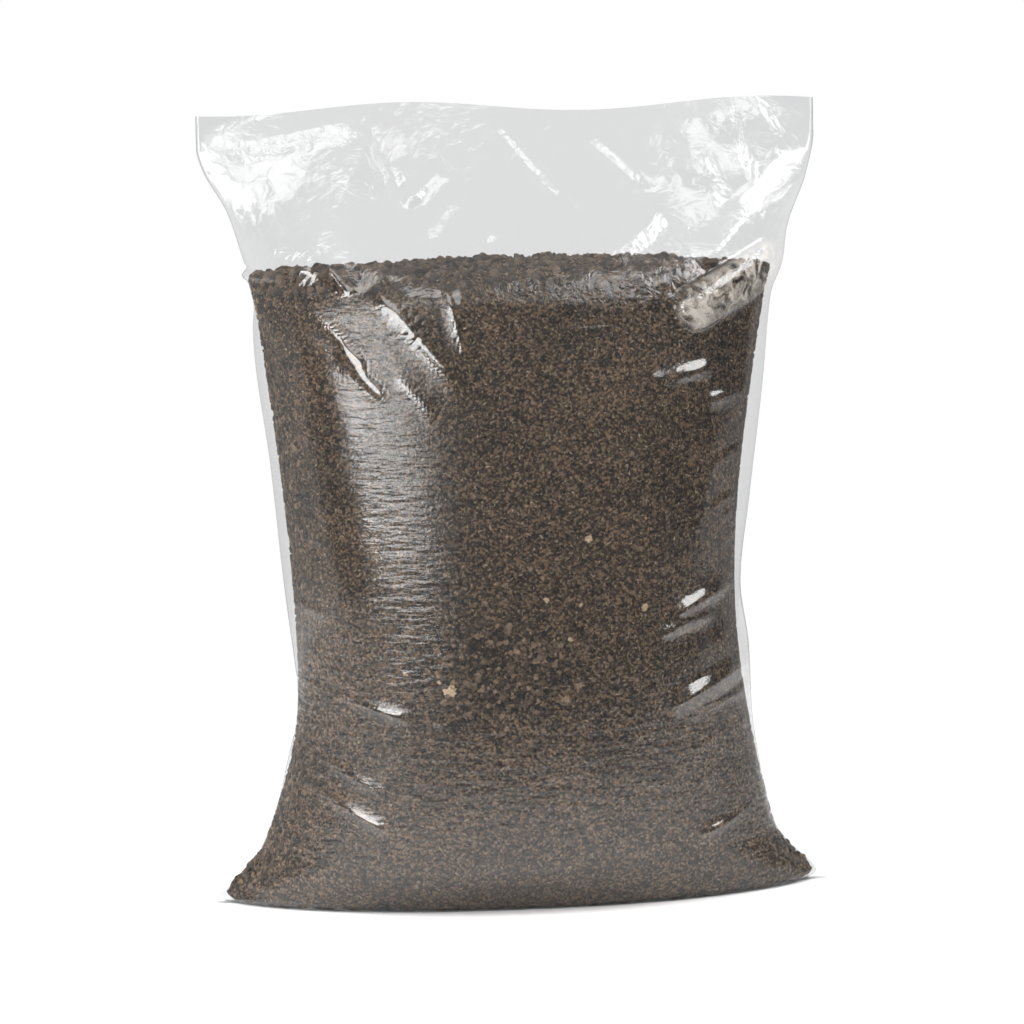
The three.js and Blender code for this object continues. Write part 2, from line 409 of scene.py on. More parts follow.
@dataclass(frozen=True)
class ClearFilmFinish:
    """Clear glossy polythene film: see-through, a little grey, and finely wrinkled.

    Heights of the fine wrinkles are in metres: dimples and flat ripples where soil presses on the film,
    and crinkles in the loose film over the rim. Loose film mirrors more than pressed film. Film that is
    rolled up in layers is patchy and milky.
    """

    tint: Triple = (0.901, 0.903, 0.906)
    milk: Triple = (0.85, 0.86, 0.88)
    haze: float = 0.012
    mirror_free: float = 0.090
    mirror_pressed: float = 0.055
    mirror_grazing: float = 0.45
    grazing_power: float = 5.0
    gloss_free: float = 0.13
    gloss_pressed: float = 0.26
    dimples: float = 0.00022
    dimple_scale: float = 420.0
    ripples: float = 0.0007
    ripple_scale: float = 290.0
    ripple_squash: Triple = (0.2, 0.2, 1.0)
    crinkles: float = 0.0008
    crinkle_scale: float = 90.0
    crinkle_twist: float = 1.2
    layers: Triple = (0.80, 0.74, 0.66)
    layer_share: float = 0.45
    layer_patches: Pair = (0.40, 0.62)

    def material(self) -> bpy.types.Material:
        """Makes the film's material.

        Returns:
            The material.
        """
        material, nodes = Nodes.for_material("clear_film")
        pressed, crinkled, rolled = (nodes.attribute(name) for name in ("pressed", "crinkled", "rolled"))
        place = nodes.place()
        squashed = nodes.add("ShaderNodeVectorMath", {"operation": "MULTIPLY"}, Vector=place)
        squashed.inputs[1].default_value = self.ripple_squash
        dimple = nodes.noise(place, self.dimple_scale, detail=2.0)
        ripple = nodes.noise(squashed.outputs[0], self.ripple_scale, detail=2.0)
        crinkle = nodes.noise(place, self.crinkle_scale, detail=4.0, twist=self.crinkle_twist)
        dimpled = nodes.times(nodes.times(dimple, pressed), self.dimples)
        rippled = nodes.times(nodes.times(ripple, pressed), self.ripples)
        loose = nodes.times(nodes.times(crinkle, crinkled), self.crinkles)
        height = nodes.plus(nodes.plus(dimpled, rippled), loose)
        bump = nodes.add("ShaderNodeBump", Height=height, Strength=1.0, Distance=1.0).outputs["Normal"]
        roughness = nodes.slide(pressed, self.gloss_free, self.gloss_pressed)
        head_on = nodes.slide(pressed, self.mirror_free, self.mirror_pressed)
        facing = nodes.add("ShaderNodeLayerWeight", Blend=0.5, Normal=bump).outputs["Facing"]
        grazing = nodes.times(nodes.maths("POWER", facing, self.grazing_power), self.mirror_grazing)
        gloss = nodes.add("ShaderNodeBsdfAnisotropic", Color=(1, 1, 1, 1), Roughness=roughness, Normal=bump)
        film = nodes.mix_shaders(nodes.plus(grazing, head_on), nodes.clear(self.tint), gloss.outputs["BSDF"])
        hazy = nodes.mix_shaders(self.haze, film, nodes.matt(self.milk))
        low, high = self.layer_patches
        patchy = nodes.ramp(crinkle, (low, (0, 0, 0)), (high, (1, 1, 1)))
        layered = nodes.times(nodes.times(rolled, patchy), self.layer_share)
        nodes.show(nodes.mix_shaders(layered, hazy, nodes.matt(self.layers)))
        return material


@dataclass(frozen=True)
class SoilFinish:
    """Dark brown earth: fine crumbs of mixed browns, with painted shade darkening the low gaps between them.
    """

    black: Triple = (0.010, 0.0078, 0.006)
    dark: Triple = (0.052, 0.0358, 0.0232)
    brown: Triple = (0.168, 0.114, 0.071)
    pale: Triple = (0.42, 0.33, 0.23)
    tones: tuple[float, ...] = (0.22, 0.46, 0.66, 0.78, 0.88)
    crumb_pitch: float = 0.0042
    crumb_share: float = 0.16
    grain_pitch: float = 0.0016
    grain_share: float = 0.44
    speck_pitch: float = 0.0010
    speck_share: float = 0.40
    warp: float = 0.0022
    warp_scale: float = 500.0
    # Painted shade: the colour that the low gaps between the grains are darkened towards.
    recess_shade_colour: Triple = (0.12, 0.11, 0.10)
    recess_shade_stops: Pair = (0.35, 0.85)
    drift_scale: float = 16.0
    drift_low: Triple = (0.72, 0.70, 0.68)
    drift_high: Triple = (1.3, 1.24, 1.18)
    drift_stops: Pair = (0.32, 0.68)
    relief: float = 0.0016
    relief_strength: float = 1.0
    crumb_relief: float = 1.6
    roughness: float = 0.92
    specular: float = 0.25

    def material(self) -> bpy.types.Material:
        """Makes the soil's material.

        Returns:
            The material.
        """
        material, nodes = Nodes.for_material("dark_soil")
        place = nodes.place()
        warp = nodes.add("ShaderNodeTexNoise", Vector=place, Scale=self.warp_scale, Detail=1.0)
        bent = nodes.add("ShaderNodeVectorMath", {"operation": "MULTIPLY_ADD"})
        bent.inputs[1].default_value = (self.warp, self.warp, self.warp)
        nodes.feed(bent.inputs[0], warp.outputs["Color"])
        nodes.feed(bent.inputs[2], place)
        crumbs = nodes.add("ShaderNodeTexVoronoi", Vector=bent.outputs[0], Scale=1 / self.crumb_pitch)
        grains = nodes.add("ShaderNodeTexVoronoi", Vector=bent.outputs[0], Scale=1 / self.grain_pitch)
        grain = nodes.add("ShaderNodeSeparateColor", Color=grains.outputs["Color"]).outputs["Red"]
        crumb = nodes.add("ShaderNodeSeparateColor", Color=crumbs.outputs["Color"]).outputs["Green"]
        speck = nodes.noise(place, 1 / self.speck_pitch, detail=2.0)
        tone = nodes.plus(nodes.times(grain, self.grain_share), nodes.times(crumb, self.crumb_share))
        tone = nodes.plus(tone, nodes.times(speck, self.speck_share))
        colours = (self.black, self.dark, self.brown, self.brown, self.pale)
        earth = nodes.ramp(tone, *zip(self.tones, colours))
        # Painted shade: the colour is darkened at the grains' edges, where the relief is lowest.
        painted_recess_shade = nodes.ramp(grains.outputs["Distance"], *zip(self.recess_shade_stops, ((1, 1, 1), self.recess_shade_colour)))
        drift = nodes.noise(place, self.drift_scale, detail=4.0)
        patches = nodes.ramp(drift, *zip(self.drift_stops, (self.drift_low, self.drift_high)))
        colour = nodes.blend(1.0, nodes.blend(1.0, earth, painted_recess_shade, "MULTIPLY"), patches, "MULTIPLY")
        crumb_depth = nodes.times(crumbs.outputs["Distance"], self.crumb_relief)
        height = nodes.maths("SUBTRACT", 1.0, nodes.plus(grains.outputs["Distance"], crumb_depth))
        nodes.show_earth(self, colour, height)
        return material


@dataclass(frozen=True)
class LooseBitFinish:
    """Loose bits of one kind, each with its own tone between two colours."""

    name: str
    low: Triple
    high: Triple
    mottle_scale: float = 700.0
    mottle_low: Triple = (0.55, 0.53, 0.5)
    mottle_high: Triple = (1.25, 1.22, 1.2)
    mottle_stops: Pair = (0.3, 0.7)
    relief: float = 0.0008
    relief_strength: float = 0.6
    roughness: float = 0.9
    specular: float = 0.25

    def material(self) -> bpy.types.Material:
        """Makes the loose bits' material.

        Returns:
            The material.
        """
        material, nodes = Nodes.for_material(self.name)
        mottle = nodes.noise(nodes.place(), self.mottle_scale, detail=3.0)
        earth = nodes.ramp(nodes.attribute("tone"), (0.0, self.low), (1.0, self.high))
        shade = nodes.ramp(mottle, *zip(self.mottle_stops, (self.mottle_low, self.mottle_high)))
        nodes.show_earth(self, nodes.blend(1.0, earth, shade, "MULTIPLY"), mottle)
        return material


@dataclass(frozen=True)
class Fold:
    """A fold of one sheet along a line.

    Places are (across, height) in metres. A positive rise stands off the soil. A round fold is highest at
    its root and runs out at its end. A creased one is as high all along, with flat flanks, and a rolled
    one has a round back and round ends.
    """

    root: Pair
    end: Pair
    width: float
    rise: float
    kind: FoldKind = FoldKind.CREASED
    end_power: int = 6

    def lift(self, across: Array, height: Array) -> Array:
        """How far the fold lifts the sheet at each place.

        Args:
            across: Places across the bag.
            height: Their heights.

        Returns:
            The lift at each place.
        """
        run = np.subtract(self.end, self.root)
        along = ((across - self.root[0]) * run[0] + (height - self.root[1]) * run[1]) / run.dot(run)
        along = np.clip(along, 0, 1)
        gap_x = across - self.root[0] - along * run[0]
        gap_z = height - self.root[1] - along * run[1]
        away = np.sqrt(gap_x**2 + gap_z**2) / self.width
        if self.kind is FoldKind.ROUND:
            return self.rise * np.exp(-(away**2)) * (1 - along**2)
        if self.kind is FoldKind.ROLLED:
            return self.rise * np.sqrt(np.maximum(1 - away**2, 0))
        return self.rise * np.maximum(1 - away, 0) * (1 - (2 * along - 1) ** self.end_power)


@dataclass(frozen=True)
class Gathers:
    """Small creased folds of the front sheet, one at each height, that fall a little from first to last."""

    across: Pair
    heights: tuple[float, ...]
    drop: float
    width: float
    rise: float

    def folds(self) -> tuple[Fold, ...]:
        """Places the folds.

        Returns:
            The folds, one by one.
        """
        first, last = self.across
        ends = (((first, height), (last, height - self.drop)) for height in self.heights)
        return tuple(Fold(root, end, self.width, self.rise) for root, end in ends)


@dataclass(frozen=True)
class Crumple:
    """A crumpled patch of one sheet, with small flat facets."""

    centre: Pair
    radius: float
    pitch: float
    rise: float
    headings: tuple[float, ...] = (0.35, 1.45, 2.6)
    pitch_growth: float = 0.35
    shift: float = 0.3
    core: float = 0.55

    def lift(self, across: Array, height: Array) -> Array:
        """How far the crumpling lifts the sheet at each place.

        Args:
            across: Places across the bag.
            height: Their heights.

        Returns:
            The lift at each place.
        """
        x, z = across - self.centre[0], height - self.centre[1]
        facets = 0.0
        for turn, heading in enumerate(self.headings):
            pitch = self.pitch * (1 + self.pitch_growth * turn)
            along = (x * math.cos(heading) + z * math.sin(heading)) / pitch + self.shift * turn
            facets = facets + np.abs(2 * (along - np.floor(along)) - 1)
        inside = 1 - smooth_step(np.sqrt(x**2 + z**2), self.core * self.radius, self.radius)
        return self.rise * inside * facets / len(self.headings)


@dataclass
class BagForm:
    """The outlines that the filled bag has, seen from the front and from the side."""

    height: float = CAD_BOUNDS[1][2]
    half_mouth: float = CAD_BOUNDS[1][0]
    soil_rim: float = 0.408
    lip_dip: float = 0.007
    lip_high_place: float = -0.33
    lip_dip_pitch: float = 1.15
    lip_wave: float = 0.005
    lip_wave_start: float = -0.2
    fullness: float = 2.3
    left: Profile = Profile((
        (0.0, 0.188), (0.004, 0.199), (0.016, 0.178), (0.036, 0.170), (0.061, 0.160), (0.100, 0.150),
        (0.127, 0.143), (0.160, 0.146), (0.205, 0.151), (0.284, 0.158), (0.372, 0.167), (0.398, 0.165),
        (0.418, 0.172), (0.450, 0.1815), (0.480, 0.1965), (0.494, 0.200), (0.516, 0.200),
    ))
    right: Profile = Profile((
        (0.0, 0.186), (0.005, 0.196), (0.016, 0.187), (0.026, 0.176), (0.048, 0.165), (0.075, 0.160),
        (0.114, 0.154), (0.160, 0.152), (0.200, 0.147), (0.258, 0.154), (0.333, 0.164), (0.388, 0.170),
        (0.409, 0.178), (0.430, 0.181), (0.467, 0.1946), (0.494, 0.200), (0.516, 0.200),
    ))
    depth: Profile = Profile((
        (0.0, 0.061), (0.036, 0.087), (0.170, 0.099), (0.386, 0.081), (0.462, 0.031), (0.516, 0.0006),
    ))
    side_point: Profile = Profile((
        (0.0, 0.8), (0.036, 0.68), (0.170, 0.56), (0.386, 0.62), (0.516, 0.8),
    ))

    def reach(self, share: Array, height: Array) -> Array:
        """How far the side crease on a place's own side stands from the middle."""
        return np.where(share < 0, self.left.at(height), self.right.at(height))

    def sheet_depth(self, share: Array, height: Array) -> Array:
        """How far a sheet stands from the middle, with no folds."""
        opened = np.clip(1 - np.abs(share) ** self.fullness, 0, 1)
        return self.depth.at(height) * opened ** self.side_point.at(height)

    def lip_drop(self, share: Array, height: Array) -> Array:
        """How far the film hangs below its level as the lips dip."""
        swing = 2 * math.pi * (share - self.lip_high_place) / self.lip_dip_pitch
        return self.lip_dip * smooth_step(height, self.soil_rim, self.height) * (1 - np.cos(swing)) / 2

    def middle(self, share: Array, height: Array) -> Array:
        """Where the middle between the sheets lies, from front to back, as the lips wave."""
        swing = 2 * math.pi * (share - self.lip_wave_start)
        return self.lip_wave * smooth_step(height, self.soil_rim, self.height) * np.sin(swing)


@dataclass
class SoilCollider:
    """Tells how far a place is from the soil, and which way leads out of it."""

    soil: Piece
    rim: float
    pitch: float = 0.007
    margin: float = 0.028
    film_gap: float = 0.0006
    rim_gap: float = 0.0045
    rim_band: float = 0.006
    crown_room: float = 0.0045
    crown_slopes: Pair = (0.5, 0.9)
    grid_end: float = 1.001
    least_slope: float = 1.0e-6

    def clearance(self, heights: Array) -> Array:
        """How far the film stays off the soil, which is more over the loose crumbs of its rim."""
        over_rim = smooth_step(heights, self.rim - self.rim_band, self.rim)
        return self.film_gap + (self.rim_gap - self.film_gap) * over_rim

    def press(self, places: Array) -> Array:
        """Presses what sticks out of the soil back to half the film's clearance, and less on its top.

        Args:
            places: Places, with x, y and z last.

        Returns:
            The pressed places.
        """
        distance, way = self.sample(places)
        crown = self.crown_room * smooth_step(way[..., 2], *self.crown_slopes)
        room = self.clearance(places[..., 2]) / 2 + crown
        beyond = np.maximum(distance - room, 0)
        return places - way * beyond[..., None]

    def __post_init__(self) -> None:
        """Measures the distance to the soil on a grid of places around it."""
        graph = bpy.context.evaluated_depsgraph_get()
        tree = BVHTree.FromObject(self.soil, graph)
        places = mesh_places(self.soil)
        self.low = places.min(0) - self.margin
        counts = np.ceil((places.max(0) + self.margin - self.low) / self.pitch).astype(int) + 1
        axes = [self.low[a] + self.pitch * np.arange(counts[a]) for a in range(3)]
        distance = np.empty(counts, np.float32)
        up = Vector((0, 0, 1))
        for i, x in enumerate(axes[0]):
            for j, y in enumerate(axes[1]):
                for k, z in enumerate(axes[2]):
                    place = Vector((x, y, z))
                    gap = tree.find_nearest(place)[3]
                    normal = tree.ray_cast(place, up)[1]
                    inside = normal is not None and normal.z > 0
                    distance[i, j, k] = -gap if inside else gap
        slope = np.stack(np.gradient(distance, self.pitch), axis=-1)
        self.counts = counts
        self.table = np.concatenate((distance[..., None], slope), axis=-1).reshape(-1, 4).astype(np.float32)

    def sample(self, places: Array) -> tuple[Array, Array]:
        """Looks up the distance and the way out at many places.

        Args:
            places: Places, with x, y and z last.

        Returns:
            The distances, and the unit directions that lead away from the soil.
        """
        grid = (places - self.low) / self.pitch
        grid = np.clip(grid, 0, self.counts - self.grid_end)
        cell = grid.astype(np.int32)
        part = (grid - cell).astype(np.float32)
        stride = np.array((self.counts[1] * self.counts[2], self.counts[2], 1))
        start = cell @ stride
        found = 0.0
        for corner in np.ndindex(2, 2, 2):
            weight = np.prod(np.where(corner, part, 1 - part), axis=-1)
            found = found + weight[..., None] * self.table[start + np.dot(corner, stride)]
        slope = found[..., 1:]
        steepness = np.linalg.norm(slope, axis=-1, keepdims=True)
        return found[..., 0], slope / np.maximum(steepness, self.least_slope)


@dataclass
class FilmSolver:
    """Settles the film tube a little from where it is laid out.

    Places are held as columns around the tube by rows up it. The film is held near the lengths that it is
    given along the columns, the rows and both diagonals, bends a little stiffly, and stays out of the soil
    and the floor.
    """

    places: Array
    target: Array
    pitch: tuple[float, Array]
    collider: SoilCollider
    form: BagForm
    body_memory: float = 0.03
    tent_memory: float = 0.08
    tent_band: Pair = (-0.01, 0.03)
    lip_gap: float = 0.0005
    floor_gap: float = 0.0002
    hug: float = 2.0e-5
    hug_reach: float = 0.02
    drag: float = 0.90
    grip: float = 0.4
    slant_share: float = 0.6
    bend: float = 0.12
    spare_kept: float = 0.25

    def __post_init__(self) -> None:
        """Sorts the columns by sheet, sets each place's memory, and starts the tent at its target."""
        columns = self.places.shape[0]
        half = columns // 2
        self.side = np.zeros((columns, 1), np.float32)
        self.side[1:half] = Sheet.FRONT.value
        self.side[half + 1:] = Sheet.BACK.value
        low, high = (self.form.soil_rim + edge for edge in self.tent_band)
        self.over_rim = smooth_step(self.target[..., 2], low, high)
        memory = self.body_memory + (self.tent_memory - self.body_memory) * self.over_rim
        self.memory = memory[..., None].astype(np.float32)
        self.places += self.over_rim[..., None].astype(np.float32) * (self.target - self.places)
        self.before = self.places.copy()

    @staticmethod
    def pull(first: Array, second: Array, length: Array, share: float) -> None:
        """Moves pairs of places towards their length apart, in place.

        Args:
            first: The first place of each pair.
            second: The second place of each pair.
            length: How far apart they want to be.
            share: How much of the difference is made up.
        """
        way = second - first
        now = np.sqrt(np.einsum("...i,...i->...", way, way)) + TINY
        way *= ((now - length) / now * (0.5 * share))[..., None]
        first += way
        second -= way

    def lengths(self, skip: int, rise: int, flat: Array) -> Array:
        """The film's length between each place and another one, with enough film for the target's folds.

        Below the rim there is spare film as well, a share of what the flat tube has beyond that.

        Args:
            skip: Columns between the two.
            rise: Rows between the two.
            flat: The length on the flat tube, by column.

        Returns:
            Lengths by column and by row.
        """
        low, high = self.row_slices(rise)
        way = np.roll(self.target, -skip, axis=0)[:, high] - self.target[:, low]
        formed = np.linalg.norm(way, axis=-1)
        spare = self.spare_kept * np.maximum(flat[:, None] - formed, 0) * (1 - self.over_rim[:, low])
        return (formed + spare).astype(np.float32)

    def row_slices(self, rise: int) -> tuple[slice, slice]:
        """The rows of the first and the second places of pairs that are rise rows apart."""
        rows = self.target.shape[1]
        return slice(max(-rise, 0), rows - max(rise, 0)), slice(max(rise, 0), rows - max(-rise, 0))

    def pull_around(self, skip: int, rise: int, lengths: Array, share: float) -> None:
        """Pulls each place towards the one skip columns on and rise rows up.

        Args:
            skip: Columns between the pair, 1 or 2.
            rise: Rows between the pair, at most 1 either way.
            lengths: Their distance on the film.
            share: How much of the difference is made up.
        """
        p = self.places
        low, high = self.row_slices(rise)
        columns = p.shape[0]
        period = 2 * skip
        for offset in range(0, period, skip):
            for lane in range(skip):
                start = offset + lane
                chosen = slice(start, columns - skip, period)
                self.pull(p[chosen, low], p[start + skip:columns:period, high], lengths[chosen], share)
        for lane in range(skip):
            last = columns - skip + lane
            self.pull(p[last, low], p[lane, high], lengths[last], share)

    def pull_up(self, skip: int, lengths: Array, share: float) -> None:
        """Pulls each place towards the one skip rows up.

        Args:
            skip: Rows between the pair.
            lengths: Their distance on the film.
            share: How much of the difference is made up.
        """
        p = self.places
        rows = p.shape[1]
        period = 2 * skip
        for start in range(period):
            chosen = slice(start, rows - skip, period)
            self.pull(p[:, chosen], p[:, start + skip:rows:period], lengths[:, chosen], share)

    def keep_clear(self) -> None:
        """Keeps the film out of the soil and the floor, and its sheets from crossing."""
        p = self.places
        distance, way = self.collider.sample(p)
        depth = np.maximum(self.collider.clearance(p[..., 2]) - distance, 0)
        p += way * depth[..., None]
        touching = (depth > 0)[..., None]
        moved = p - self.before
        along = moved - way * np.sum(moved * way, axis=-1, keepdims=True)
        self.before += np.where(touching, along * self.grip, 0)
        p[..., 2] = np.maximum(p[..., 2], self.floor_gap)
        share = p[..., 0] / self.form.half_mouth
        beyond = (p[..., 1] - self.form.middle(share, p[..., 2])) * self.side
        p[..., 1] += np.maximum(self.lip_gap - beyond, 0) * self.side

    def hold(self) -> None:
        """Draws the film to its target, and puts its lips and bottom seam back there."""
        p = self.places
        p += self.memory * (self.target - p)
        p[:, -1] = self.target[:, -1]
        p[:, 0] = self.target[:, 0]

    def relax(self, steps: int, rounds: int) -> Array:
        """Lets the film settle.

        Args:
            steps: Steps of motion.
            rounds: Times that the lengths are mended in each step.

        Returns:
            The places of the settled film.
        """
        up = self.pitch[1]
        across = np.full_like(up, self.pitch[0])
        slant = np.hypot(across, up)
        around_lengths = self.lengths(1, 0, across)
        up_lengths = self.lengths(0, 1, up)
        rising, falling = self.lengths(1, 1, slant), self.lengths(1, -1, slant)
        around_bend = self.lengths(2, 0, 2 * across)
        up_bend = self.lengths(0, 2, 2 * up)
        for _ in range(steps):
            moved = (self.places - self.before) * self.drag
            self.before = self.places.copy()
            self.places += moved
            distance, way = self.collider.sample(self.places)
            near = (distance < self.hug_reach) & (self.places[..., 2] < self.form.soil_rim)
            self.places -= np.where(near[..., None], way * self.hug, 0)
            for _ in range(rounds):
                self.pull_around(1, 0, around_lengths, 1.0)
                self.pull_up(1, up_lengths, 1.0)
                self.pull_around(1, 1, rising, self.slant_share)
                self.pull_around(1, -1, falling, self.slant_share)
                self.pull_around(2, 0, around_bend, self.bend)
                self.pull_up(2, up_bend, self.bend)
                self.keep_clear()
                self.hold()
        return self.places


@dataclass(frozen=True)
class FrontSpot:
    """An oval spot on the bag's front."""

    centre: Pair
    radii: Pair
    core: float = 0.5

    def share(self, places: Array) -> Array:
        """Tells what lies in the spot.

        Args:
            places: Places, with x, y and z last.

        Returns:
            How far inside the spot each place lies, from 0 to 1.
        """
        x = (places[..., 0] - self.centre[0]) / self.radii[0]
        z = (places[..., 2] - self.centre[1]) / self.radii[1]
        inside = 1 - smooth_step(np.sqrt(x**2 + z**2), self.core, 1.0)
        return np.where(places[..., 1] < 0, inside, 0.0)


@dataclass
class FilmBag:
    """The bag: one flat film tube, closed along its bottom seam and open at its lips."""

    form: BagForm
    flat_width: float = 0.400
    flat_length: float = 0.612
    half_seam: float = 0.205
    slack: float = 0.12
    columns: int = 176
    rows: int = 268
    steps: tuple[int, ...] = (60, 50, 30)
    rounds: int = 8
    start_noise: float = 0.0004
    seed: int = 7
    form_levels: int = 361
    level_crowding: float = 1.35
    form_shares: int = 241
    crease_power: int = 6
    foot_band: float = 0.03
    least_gap: float = 0.0005
    crinkle_band: Pair = (-0.022, 0.012)
    pressed_gaps: Pair = (0.0010, 0.0022)
    finish: ClearFilmFinish = ClearFilmFinish()
    roll: Fold = Fold((0.164, 0.408), (0.112, 0.383), 0.015, 0.012, FoldKind.ROLLED)
    front_folds: tuple[Fold | Crumple, ...] = (
        roll,
        Fold((-0.094, 0.400), (-0.038, 0.338), 0.012, 0.0028),
        Fold((-0.048, 0.403), (-0.037, 0.352), 0.007, 0.0025),
        Fold((-0.082, 0.346), (-0.058, 0.320), 0.005, 0.0016),
        Fold((-0.146, 0.402), (-0.098, 0.350), 0.006, 0.0024),
        Fold((-0.125, 0.417), (-0.106, 0.395), 0.008, 0.0028),
        Fold((-0.118, 0.364), (-0.088, 0.330), 0.007, 0.0021),
        Fold((-0.161, 0.392), (-0.147, 0.403), 0.006, 0.0032),
        Fold((-0.134, 0.415), (-0.144, 0.402), 0.006, 0.0032),
        Fold((0.122, 0.345), (0.078, 0.338), 0.008, 0.0034),
        Fold((0.160, 0.331), (0.116, 0.323), 0.007, 0.0034),
        Fold((0.151, 0.211), (0.089, 0.189), 0.010, 0.0066),
        Fold((0.122, 0.188), (0.080, 0.178), 0.006, 0.0038),
        Fold((0.151, 0.154), (0.089, 0.131), 0.010, 0.0066),
        Fold((0.165, 0.062), (0.108, 0.044), 0.010, 0.0068),
        Fold((-0.146, 0.148), (-0.076, 0.128), 0.010, 0.0044),
        Fold((-0.140, 0.105), (-0.096, 0.080), 0.007, 0.0030),
        Fold((-0.152, 0.088), (-0.090, 0.054), 0.010, 0.0044),
        Fold((-0.189, 0.488), (-0.147, 0.417), 0.014, 0.0024),
        Fold((-0.196, 0.494), (-0.085, 0.510), 0.014, 0.0030),
        Fold((-0.082, 0.510), (-0.136, 0.417), 0.026, 0.0034),
        Fold((-0.071, 0.479), (-0.062, 0.452), 0.008, 0.0034),
        Fold((-0.072, 0.450), (-0.046, 0.474), 0.0075, 0.0027),
        Fold((-0.064, 0.430), (-0.036, 0.458), 0.0080, 0.0029),
        Fold((-0.029, 0.453), (-0.017, 0.428), 0.008, 0.0034),
        Fold((-0.009, 0.512), (0.042, 0.449), 0.008, 0.0043),
        Fold((0.051, 0.505), (0.091, 0.462), 0.008, 0.0030),
        Fold((0.058, 0.418), (0.093, 0.447), 0.012, 0.0044),
        Fold((0.198, 0.476), (0.117, 0.411), 0.016, 0.0062),
        Crumple((0.146, 0.478), 0.056, 0.026, 0.0045),
    )
    rim_crinkles: FrontSpot = FrontSpot((0.050, 0.396), (0.100, 0.022))
    rim_crinkling: float = 2.4
    gathers: tuple[Gathers, ...] = (
        Gathers((0.153, 0.120), (0.296, 0.269), drop=0.014, width=0.0045, rise=0.0014),
        Gathers((0.150, 0.128), (0.256, 0.241), drop=0.008, width=0.0040, rise=0.0012),
        Gathers((0.154, 0.098), (0.136, 0.114, 0.092), drop=0.014, width=0.0050, rise=0.0016),
        Gathers((0.176, 0.136), (0.048, 0.033), drop=0.010, width=0.0050, rise=0.0016),
        Gathers((-0.154, -0.128), (0.272, 0.248, 0.201, 0.172), drop=0.008, width=0.0045, rise=0.0012),
    )
    back_folds: tuple[Fold | Crumple, ...] = (
        Fold((0.140, 0.412), (0.056, 0.334), 0.008, 0.009, FoldKind.ROUND),
        Fold((-0.160, 0.408), (-0.096, 0.356), 0.010, 0.010, FoldKind.ROUND),
        Fold((0.150, 0.172), (0.078, 0.150), 0.008, 0.009, FoldKind.ROUND),
        Fold((-0.150, 0.200), (-0.084, 0.176), 0.008, 0.009, FoldKind.ROUND),
        Fold((-0.162, 0.086), (-0.092, 0.056), 0.008, 0.009, FoldKind.ROUND),
        Fold((0.164, 0.074), (0.092, 0.044), 0.008, 0.009, FoldKind.ROUND),
        Fold((0.190, 0.490), (0.118, 0.412), 0.026, 0.010),
        Fold((-0.188, 0.486), (-0.096, 0.414), 0.026, 0.010),
        Fold((0.020, 0.508), (-0.020, 0.420), 0.022, 0.006),
        Crumple((-0.060, 0.470), 0.050, 0.026, 0.006),
    )

    def sheet_columns(self, sheet: Sheet, columns: int, rows: int) -> Array:
        """Lays one sheet over the bag's form, from the bottom seam to the lips.

        Args:
            sheet: Which of the two sheets.
            columns: Steps across the sheet.
            rows: Steps up it.

        Returns:
            Places by column, from the left crease to the right one, and by row.
        """
        form = self.form
        heights = form.height * np.linspace(0, 1, self.form_levels) ** self.level_crowding
        shares = np.sin(np.linspace(-1, 1, self.form_shares) * math.pi / 2)
        share, height = np.meshgrid(shares, heights, indexing="ij")
        across = share * form.reach(share, height)
        small = tuple(fold for gathers in self.gathers for fold in gathers.folds())
        folds = self.front_folds + small if sheet is Sheet.FRONT else self.back_folds
        lift = sum(fold.lift(across, height) for fold in folds)
        lift = lift * (1 - np.abs(share) ** self.crease_power) * smooth_step(height, 0, self.foot_band)
        away = np.maximum(form.sheet_depth(share, height) + lift, self.least_gap) * sheet.value
        level = height - form.lip_drop(share, height)
        place = np.stack((across, away + form.middle(share, height), level), axis=-1)
        spread = np.stack([even_places(line, columns) for line in place.swapaxes(0, 1)], axis=1)
        seam = np.zeros((columns + 1, 1, 3))
        seam[:, 0, 0] = np.linspace(-self.half_seam, self.half_seam, columns + 1)
        laid = np.stack([even_places(line, rows) for line in np.concatenate((seam, spread), axis=1)])
        LOG.info("%s sheet: %.3f m up the middle, %.3f m up a side", sheet.name.lower(),
                 self.path_length(laid[columns // 2]), self.path_length(laid[0]))
        return laid

    @staticmethod
    def path_length(path: Array) -> float:
        """The length of a line of places."""
        return float(np.linalg.norm(np.diff(path, axis=0), axis=-1).sum())

    def lay_out(self, columns: int, rows: int) -> Array:
        """Lays both sheets over the form as one tube.

        Args:
            columns: Steps across each sheet.
            rows: Steps up it.

        Returns:
            Places by column around the tube and by row.
        """
        front = self.sheet_columns(Sheet.FRONT, columns, rows)
        back = self.sheet_columns(Sheet.BACK, columns, rows)
        return np.concatenate((front, back[-2:0:-1])).astype(np.float32)

    @staticmethod
    def twice_as_fine(places: Array) -> Array:
        """Puts a new column and a new row between each two.

        Args:
            places: Places by column around the tube and by row.

        Returns:
            The finer net of places.
        """
        around = np.roll(places, -1, axis=0)
        finer = np.empty((2 * places.shape[0], places.shape[1], 3), np.float32)
        finer[0::2] = places
        finer[1::2] = (places + around) / 2
        out = np.empty((finer.shape[0], 2 * places.shape[1] - 1, 3), np.float32)
        out[:, 0::2] = finer
        out[:, 1::2] = (finer[:, :-1] + finer[:, 1:]) / 2
        return out

